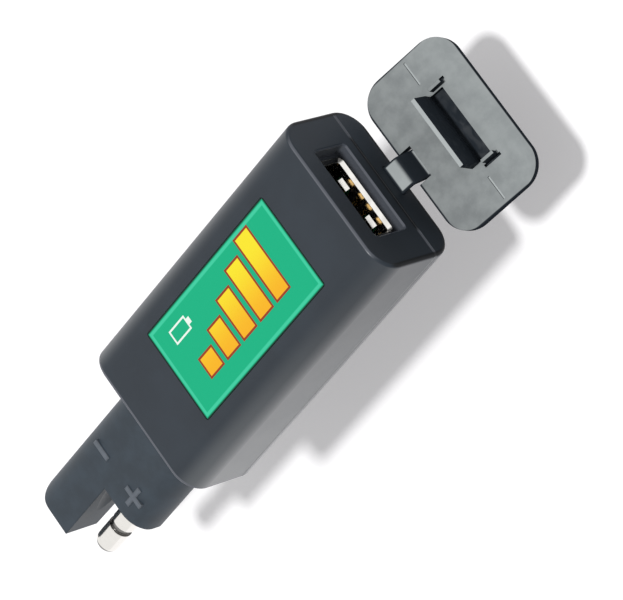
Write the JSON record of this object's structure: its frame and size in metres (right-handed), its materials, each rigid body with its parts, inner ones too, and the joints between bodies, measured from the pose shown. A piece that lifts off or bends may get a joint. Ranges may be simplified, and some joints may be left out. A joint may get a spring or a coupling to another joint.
{
  "type": "in-line USB charger with battery plug",
  "caption": "Two-shell case with a USB power port in one end, a moulded two-pole battery plug on the other and a cap that swings on a flexible strap.",
  "frame": {"origin": "middle of the case's flat back face", "axes": "+Y points along the case to the USB port, -Y to the battery plug, +Z is the outward normal of the labelled face, +X is across the case on the bare pin's side"},
  "size_m": [0.0264, 0.1029, 0.0232],
  "materials": {
    "case": "fine satin",
    "label": "printed film",
    "steel_sheet": "bright",
    "insulator": "moulded",
    "gold": "gold plated",
    "board": "solder resist",
    "ferrite": "sintered",
    "copper": "enamelled wire",
    "can": "bright",
    "chip": "moulded",
    "plug_rubber": "satin moulded",
    "nickel": "nickel plated",
    "brass": "turned",
    "lead_red": "insulated lead",
    "lead_black": "insulated lead",
    "cap_rubber": "soft moulded"
  },
  "bodies": {
    "housing": {"upper_shell": "case", "lower_shell": "case", "label": "label", "usb_shell": "steel_sheet", "usb_insulator": "insulator", "usb_contact_1": "gold", "usb_contact_2": "gold", "usb_contact_3": "gold", "usb_contact_4": "gold", "circuit_board": "board", "inductor_core": "ferrite", "inductor_coil": "copper", "input_capacitor": "can", "output_capacitor": "can", "regulator_chip": "chip", "diode": "chip", "resettable_fuse": "chip", "chip_resistor_1": "chip", "chip_resistor_2": "chip", "chip_resistor_3": "chip", "positive_lead": "lead_red", "negative_lead": "lead_black", "plug_body": "plug_rubber", "pin_terminal": "nickel", "socket_terminal": "brass", "strap_anchor": "cap_rubber", "cap_strap": "cap_rubber"},
    "cap": {"port_cap": "cap_rubber"}
  },
  "joints": [
    {"name": "cap_hinge", "type": "hinge", "parent": "housing", "child": "cap", "pos_m": [0, 0.02829, -0.00041], "axis": [1, 0, 0], "range_deg": [-70, 110], "deforming": ["cap_strap"]}
  ]
}
